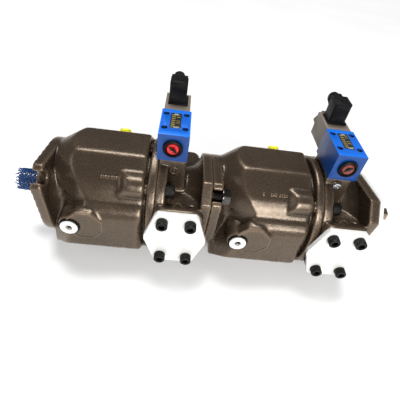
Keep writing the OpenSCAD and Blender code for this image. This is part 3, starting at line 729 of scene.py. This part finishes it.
def add_cast_marks():
    """Plain raised rings and dashes on the castings, without any meaning."""
    bm = bmesh.new()

    def ring(place, r, wide=0.0011):
        loft(bm, [circle_ring(z, rr, 40) for z, rr in
                  ((MARK_ROOT, r - wide), (MARK_RISE * 0.7, r - wide),
                   (MARK_RISE, r - wide * 0.7), (MARK_RISE, r - wide * 0.3),
                   (MARK_RISE * 0.7, r), (MARK_ROOT, r))], place, False, False)

    def octagon(place, r, wide):
        loft(bm, [[(k * math.cos(t), k * math.sin(t), z) for t in
                   (math.radians(22.5 + 45 * i) for i in range(8))]
                  for z, k in ((MARK_ROOT, r - wide), (0.0003, r - wide),
                               (0.0006, r - 0.6 * wide), (0.0004, r), (-0.0030, r + wide))],
             place, False, False)

    def dash(place, x, y, long, high):
        outline = [(-0.5, -0.5), (0.5, -0.5), (0.5, 0.5), (-0.5, 0.5)]
        rings = [[(x + a * long * k, y + b * high * k, z) for a, b in outline]
                 for z, k in ((MARK_ROOT, 1.0), (MARK_RISE * 0.6, 1.0), (MARK_RISE, 0.7))]
        loft(bm, rings, place)

    wall = Vector((0, -0.615, 0.789))
    rows = ((0.0, ((0.096, 4), (0.112, 4))), (PITCH, ((0.083, 1), (0.096, 3), (0.110, 4))))
    for start, words in rows:
        place = place_at((start, -0.0538, 0.0704), wall)
        for x, count in words:
            for k in range(count):
                dash(place, x + 0.0036 * k, 0.0, 0.0022, 0.0045 if k % 2 else 0.0050)
        ring(place_at((start + 0.217, -0.0800, 0.0480), (0, -0.514, 0.857)), 0.0062)
        octagon(place_at((start + 0.076, -0.0994, 0.005), (0, -1, 0)), 0.0290, 0.0016)
        low_face = place_at((start, -0.0980, -0.040), (0, -1, 0))
        for k in range(4):
            dash(low_face, 0.118 + 0.0042 * k, 0.0, 0.0022, 0.0050)
    near_pad = place_at((0.2055, -0.0340, 0.082), (0, -1, 0))
    ring(near_pad, 0.0064)
    dash(near_pad, 0.0, 0.0, 0.0014, 0.0060)
    obj = new_object("cast_marks", mesh_from(bm, "cast_marks"), IRON)
    placed(obj, FIXED, "cast_iron")


add_nameplates()
add_end_rings()
add_cast_marks()

# ---------------------------------------------------------------- shaft and net


# Strands in each of the two families, their turns about the axis and steps along it
STRANDS = 18
TURNS = 0.36
STEPS = 36
STRAND_R = 0.00090
STRAND_SIDES = 5
# Half the distance between the families, and how far a strand waves in and out
FAMILY_RISE = 0.00045
STRAND_WAVE = 0.0004
# How far the weave starts behind the CAD net's front edge, and the frayed ends' lengths
FRAY_ROOM = 0.005
FRAY_LENGTHS = (0.001, 0.0065)
# The frayed ends stay this far inside the CAD box
FRONT_MARGIN = 0.001


def strand(bm, points):
    """Thin tube along a row of points."""
    rings = []
    for i, p in enumerate(points):
        a = points[max(0, i - 1)]
        b = points[min(len(points) - 1, i + 1)]
        d = (b - a).normalized()
        side = d.cross(Vector((0, 0.3, 1))).normalized()
        up = d.cross(side)
        rings.append([p + STRAND_R * (math.cos(t) * side + math.sin(t) * up)
                      for t in (2 * math.pi * k / STRAND_SIDES for k in range(STRAND_SIDES))])
    loft(bm, rings, Matrix.Identity(4))


def add_net():
    """Open plastic net: two families of strands that cross, frayed at the open end."""
    random.seed(11)
    low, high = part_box("shaft_net")
    x0, x1 = low[0] + FRAY_ROOM, high[0]
    radius = (high[2] - low[2]) / 2 - 0.0007
    bm = bmesh.new()
    for family in (1, -1):
        for s in range(STRANDS):
            phase = 2 * math.pi * s / STRANDS
            points = []
            for i in range(STEPS + 1):
                f = i / STEPS
                a = phase + family * TURNS * 2 * math.pi * f
                wave = STRAND_WAVE * math.sin(a * 5 + s)
                r = radius + family * FAMILY_RISE + wave
                points.append(Vector((x1 + (x0 - x1) * f, r * math.cos(a), r * math.sin(a))))
            # frayed end
            last, before = points[-1], points[-3]
            d = (last - before).normalized()
            length = random.uniform(*FRAY_LENGTHS)
            for k in range(1, 4):
                d = (d + Vector((random.uniform(-0.25, 0.1), random.uniform(-0.35, 0.35),
                                 random.uniform(-0.35, 0.35)))).normalized()
                q = points[-1] + d * length / 3
                q[0] = max(q[0], CAD_BOX[0][0] + FRONT_MARGIN)
                points.append(q)
            strand(bm, points)
    obj = new_object("shaft_net_open", mesh_from(bm, "shaft_net_open"), NET)
    mesh = obj.data
    mesh.polygons.foreach_set("use_smooth", [True] * len(mesh.polygons))
    placed(obj, TURNING, "net_blue", "shaft_net")


add_net()
refined("front_shaft", width=0.0003, segments=1)

# ---------------------------------------------------------------- stage


# The floor: half its width, the place under the middle of the row, and its gap below the part
FLOOR_SIZE = 4.0
FLOOR_MIDDLE = (0.25, 0.0)
FLOOR_GAP = 0.0002
WORLD_POWER = 0.16
SUN_POWER = 3.0
# Degrees that the sun is wide, for soft shadows, and the way it shines
SUN_WIDTH = 28
SUN_AIM = (0.08, -0.30, -1.0)


def make_stage():
    """Plain pale paper floor."""
    bm = bmesh.new()
    bmesh.ops.create_grid(bm, x_segments=8, y_segments=8, size=FLOOR_SIZE)
    mesh = mesh_from(bm, "floor")
    n = Nodes("floor_paper")
    spots = n.noise(3, 3, 0.5)
    tone = n.ramp(spots, "Fac", [(0.3, (0.88, 0.88, 0.88)), (0.7, (0.92, 0.92, 0.92))])
    n.link(tone, "Color", n.bsdf, "Base Color")
    n.bsdf.inputs["Roughness"].default_value = 0.75
    floor = new_object("floor", mesh, n.mat)
    floor.location = (*FLOOR_MIDDLE, CAD_BOX[0][2] - FLOOR_GAP)


def area(name, place, aim, size, power):
    """Rectangular lamp at place that shines towards aim."""
    data = bpy.data.lights.new(name, "AREA")
    data.shape = "RECTANGLE"
    data.size, data.size_y = size
    data.energy = power
    lamp = bpy.data.objects.new(name, data)
    bpy.context.scene.collection.objects.link(lamp)
    lamp.location = place
    lamp.rotation_euler = (Vector(aim) - Vector(place)).to_track_quat("-Z", "Y").to_euler()


def make_lights():
    """Soft white surroundings, a wide sun from above the far side, and two soft lamps."""
    world = bpy.data.worlds.new("world")
    world.use_nodes = True
    background = world.node_tree.nodes["Background"]
    background.inputs["Color"].default_value = (1.0, 1.0, 1.0, 1)
    background.inputs["Strength"].default_value = WORLD_POWER
    bpy.context.scene.world = world
    sun = bpy.data.lights.new("sun", "SUN")
    sun.energy = SUN_POWER
    sun.angle = math.radians(SUN_WIDTH)
    sun_lamp = bpy.data.objects.new("sun", sun)
    bpy.context.scene.collection.objects.link(sun_lamp)
    sun_lamp.rotation_euler = Vector(SUN_AIM).to_track_quat("-Z", "Y").to_euler()
    area("key", (0.58, -1.30, 0.68), (0.38, 0, 0), (0.7, 0.34), 25)
    area("left", (-1.1, -0.35, 0.7), (0.1, 0, 0.05), (0.5, 0.3), 2)


make_stage()
make_lights()
bpy.context.scene.view_settings.view_transform = "Standard"
